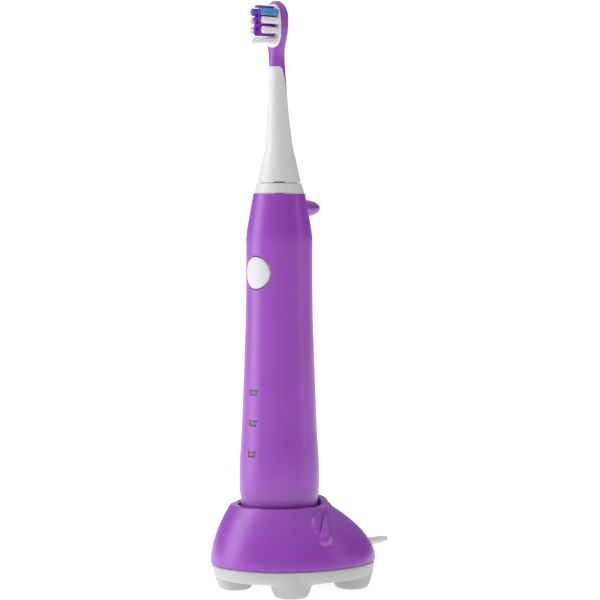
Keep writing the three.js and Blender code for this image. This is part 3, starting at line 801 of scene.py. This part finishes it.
def make_button():
    profile = rounded([
        (0, -1.5), (1.5, -1.5), (3, -1.5), (4.6, -1.5), (BUTTON_R, -1.5), (BUTTON_R, 0.22),
        (4.6, 0.3), (2.2, 0.26), (0, 0.24),
    ], 0.35)
    button = disc_on_handle("button", profile, BUTTON_Z)
    stem = lathe("stem", [(0, 11.1), (1.4, 11.1), (1.4, 12.2), (0, 12.2)], y=0, sides=24)
    join(button, placed(stem, lambda x, y, z: (x, AXIS_Y * MM - z, BUTTON_Z * MM + y)))
    return finished(button, BUTTON, "button", ["power_button"])


def make_lights():
    for i, z in enumerate(LIGHT_Z, 1):
        levels = [(0, -2.4), (0, -0.3), (-0.04, -0.16), (-0.16, -0.08)]
        guide = light_body(f"light_{i}", levels, z)
        finished(guide, LIGHT, "handle", [f"mode_light_{i}"])


# ---------- brush head ----------


def head_point(a, z, inset=0.0):
    cy, rx, ry, n = eased(HEAD, z)
    c, s = math.cos(a), math.sin(a)
    return (
        (rx - inset) * math.copysign(abs(c) ** (2 / n), c),
        AXIS_Y + cy + (ry - inset) * math.copysign(abs(s) ** (2 / n), s),
        z,
    )


def overmould_height(a):
    """Where a column of the brush head changes from the white core to the overmould."""
    depths, starts = zip(*OVERMOULD)
    low, high = 180, 206
    for _ in range(24):
        z = (low + high) / 2
        y = head_point(a, z)[1] - AXIS_Y
        coloured = z > np.interp(y, depths, starts)
        low, high = (low, z) if coloured else (z, high)
    return high


def make_ring():
    profile = rounded([(7.1, 153.3), (9.6, 153.3), (8.55, 157.08), (7.1, 157.08)], 0.2, closed=True)
    return finished(
        lathe("collar", profile, loop=True), WHITE, "brush_head", ["head_ring"]
    )


def make_sleeve():
    ends = [overmould_height(a) - 0.12 for a in turns()]
    rings = []
    for k in range(90):
        t = k / 89
        rings.append([head_point(a, between(157.55, end, t)) for a, end in zip(turns(), ends)])
    foot = [(157.25, 0.9), (157.25, 0.2), (157.29, 0.06)]
    rings = [[head_point(a, z, inset) for a in turns()] for z, inset in foot] + rings
    rings += [[head_point(a, end + 0.06, 0.12) for a, end in zip(turns(), ends)]]
    rings += [[head_point(a, end + 0.08, 0.4) for a, end in zip(turns(), ends)]]
    sleeve = skin("brush_sleeve", rings)
    bore = lathe("bore", [(0, 150), (5.2, 150), (5.2, 160), (3.4, 166), (3.4, 175.4), (0, 175.4)])
    spigot = lathe("spigot", [(6.7, 153.8), (6.7, 157.8), (5.2, 157.8), (5.2, 153.8)], loop=True)
    join(sleeve, spigot)
    cut(sleeve, bore)
    for turn in (45, 135, 225, 315):
        notch = block("notch", -2.05, 2.05, -10, -6.9, 156.75, 157.85, 0.25, along="y")
        cut(sleeve, moved(notch, (0, AXIS_Y, 0), turn))
    return finished(sleeve, WHITE, "brush_head", ["head_sleeve"])


def plate_ring(y, inset, count=72):
    ring = []
    for a in turns(count):
        c, s = math.cos(a), math.sin(a)
        x = (PLATE_HALF_X - inset) * math.copysign(abs(c) ** (2 / 2.6), c)
        z = (PLATE_HALF_Z - inset) * math.copysign(abs(s) ** (2 / 2.6), s)
        ring.append((x, AXIS_Y + y, PLATE_Z + z))
    return ring


def make_head_back():
    starts = [overmould_height(a) + 0.06 for a in turns()]
    rings = [
        [head_point(a, z + 0.02, 0.4) for a, z in zip(turns(), starts)],
        [head_point(a, z + 0.02, 0.12) for a, z in zip(turns(), starts)],
    ]
    for k in range(80):
        t = math.sin(math.pi / 2 * k / 79)
        rings.append([
            head_point(a, between(z + 0.1, HEAD[-1][0], t)) for a, z in zip(turns(), starts)
        ])
    back = skin("brush_back", rings)
    recess = skin("recess", [plate_ring(-9, -0.12), plate_ring(-1.5, -0.12)])
    cut(back, recess)
    return finished(back, PURPLE, "brush_head", ["head_back"])


def make_plate():
    levels = [(PLATE_BACK_Y, 0.1), (PLATE_FRONT_Y + 0.45, 0), (PLATE_FRONT_Y + 0.2, 0.07),
              (PLATE_FRONT_Y + 0.05, 0.25), (PLATE_FRONT_Y, 0.6)]
    plate = skin("brush_plate", [plate_ring(y, inset) for y, inset in levels])
    return finished(plate, PLATE, "brush_head", ["tuft_plate"])


INNER_ROWS = (221.9, 219.3, 216.7, 214.1)
TUFTS = {  # x, height, half width, half height
    "tufts_purple": [(0, 223.9, 1.3, 0.5)]
    + [(s * 0.95, z, 0.75, 1.15) for z in INNER_ROWS for s in (-1, 1)],
    "tufts_white_low": [(x, 211.1, 0.85, 1.1) for x in (-1.9, 0, 1.9)],
    "tufts_white_left": [(-3.1, z, 0.9, 1.2) for z in (218.7, 215)],
    "tufts_white_right": [(3.1, z, 0.9, 1.2) for z in (218.7, 215)],
    "tuft_blue_left": [(-2.8, 221.9, 0.8, 1.25)],
    "tuft_blue_right": [(2.8, 221.9, 0.8, 1.25)],
}
FILAMENT_R = 0.095


def filament(verts, faces, x, z, lean, tip_y):
    """One bristle: a thin rod from inside the plate, leaning a little, with a rounded tip."""
    tip = [(tip_y + 0.12, 0.95), (tip_y + 0.03, 0.65), (tip_y, 0.2)]
    stations = [(-2.4, 1), (-6, 1), (-9, 1), *tip]
    start = len(verts)
    for y, share in stations:
        t = ((y + 2.4) / (tip_y + 2.4)) ** 1.6
        for k in range(5):
            a = 2 * math.pi * k / 5
            r = FILAMENT_R * share
            verts.append((
                x + lean[0] * t + r * math.cos(a), AXIS_Y + y, z + lean[1] * t + r * math.sin(a),
            ))
    for level in range(len(stations) - 1):
        for k in range(5):
            a, b = start + level * 5 + k, start + level * 5 + (k + 1) % 5
            faces.append((a, b, b + 5, a + 5))
    faces.append(tuple(range(start, start + 5)))
    faces.append(tuple(range(start + 5 * len(stations) - 5, start + 5 * len(stations)))[::-1])


def make_tufts():
    dice = random.Random(7)
    for name, tufts in TUFTS.items():
        verts, faces = [], []
        for x, z, rx, rz in tufts:
            step = 2.12 * FILAMENT_R
            rows = int(rz / (step * 0.87))
            for row in range(-rows, rows + 1):
                dz = row * step * 0.87
                for col in range(-9, 10):
                    dx = (col + 0.5 * (row % 2)) * step
                    share = (dx / rx) ** 2 + (dz / rz) ** 2
                    if share > 1:
                        continue
                    lean = (dx * 0.1 + dice.gauss(0, 0.05), dz * 0.1 + dice.gauss(0, 0.05))
                    tip = TUFT_TIP_Y + 0.12 * share + dice.uniform(0, 0.12)
                    filament(verts, faces, x + dx, z + dz, lean, tip)
        colour = next(c for c in ("blue", "purple", "white") if c in name)
        tuft = new_object(f"{name}_filaments", verts, faces)
        finished(tuft, BRISTLE[colour], "brush_head", [name], crease=80)


# ---------- studio ----------


def make_floor():
    floor = bpy.data.objects.new("floor", bpy.data.meshes.new("floor"))
    bpy.context.scene.collection.objects.link(floor)
    ring = [(6 * math.cos(a), 6 * math.sin(a), 0) for a in np.linspace(0, 2 * math.pi, 65)[:-1]]
    floor.data.from_pydata(ring, [], [tuple(range(64))])
    pale = material(
        "floor_pale", (0.95, 0.95, 0.95), 0.9, grain=40, bump=0, tint=0.01,
        Emission_Color=(1, 1, 1, 1), Emission_Strength=0.6,
    )
    floor.data.materials.append(pale)


def softbox(name, azimuth, elevation, distance, width, height, power):
    data = bpy.data.lights.new(name, "AREA")
    data.shape = "RECTANGLE"
    data.size, data.size_y = width, height
    data.energy = power
    lamp = bpy.data.objects.new(name, data)
    bpy.context.scene.collection.objects.link(lamp)
    e = math.radians(elevation)
    away = toward(azimuth) * math.cos(e) + Vector((0, 0, math.sin(e)))
    centre = Vector((0, AXIS_Y * MM, 0.11))
    lamp.location = centre + away * distance
    lamp.rotation_euler = (-away).to_track_quat("-Z", "Y").to_euler()


def make_world(horizon=0.22, zenith=1, backdrop=0.85):
    """A soft studio tent: bright overhead and on the backdrop, dim on one side."""
    world = bpy.data.worlds.new("studio")
    world.use_nodes = True
    tree = world.node_tree
    place = tree.nodes.new("ShaderNodeTexCoord")

    def lobe(direction, start, end, low, high):
        facing = tree.nodes.new("ShaderNodeVectorMath")
        facing.operation = "DOT_PRODUCT"
        facing.inputs[1].default_value = direction
        tree.links.new(place.outputs["Generated"], facing.inputs[0])
        level = tree.nodes.new("ShaderNodeMapRange")
        level.interpolation_type = "SMOOTHSTEP"
        limits = {"From Min": start, "From Max": end, "To Min": low, "To Max": high}
        for socket, value in limits.items():
            level.inputs[socket].default_value = value
        tree.links.new(facing.outputs["Value"], level.inputs["Value"])
        return level.outputs["Result"]

    def added(first, second):
        total = tree.nodes.new("ShaderNodeMath")
        tree.links.new(first, total.inputs[0])
        tree.links.new(second, total.inputs[1])
        return total.outputs["Value"]

    tent = lobe((0, 0, 1), 0.1, 0.95, horizon, zenith)
    flagged = added(tent, lobe(toward(125), 0.1, 0.85, 0, -0.95 * horizon))
    total = added(flagged, lobe(toward(225), 0.968, 0.985, 0, backdrop))
    background = tree.nodes["Background"]
    background.inputs["Color"].default_value = (1, 1, 1, 1)
    tree.links.new(total, background.inputs["Strength"])
    bpy.context.scene.world = world


def make_light():
    make_world()
    softbox("key", -44, 8, 0.8, 0.5, 0.8, 3.3)
    softbox("high_key", -44, 50, 0.8, 0.5, 0.5, 1.9)
    softbox("edge", 126, 8, 0.8, 0.12, 0.8, 0.45)


make_camera()
lead = make_lead()
relief = make_relief()
tie = make_tie()
plug = make_plug()
plug_shell = make_plug_shell()
plug_tongue = make_plug_tongue()
make_base_shell()
make_base_cover()
make_handle()
make_button()
make_lights()
make_ring()
make_sleeve()
make_head_back()
make_plate()
make_tufts()
dress_cad_nodes()
make_floor()
make_light()
bpy.context.scene.view_settings.view_transform = "Standard"
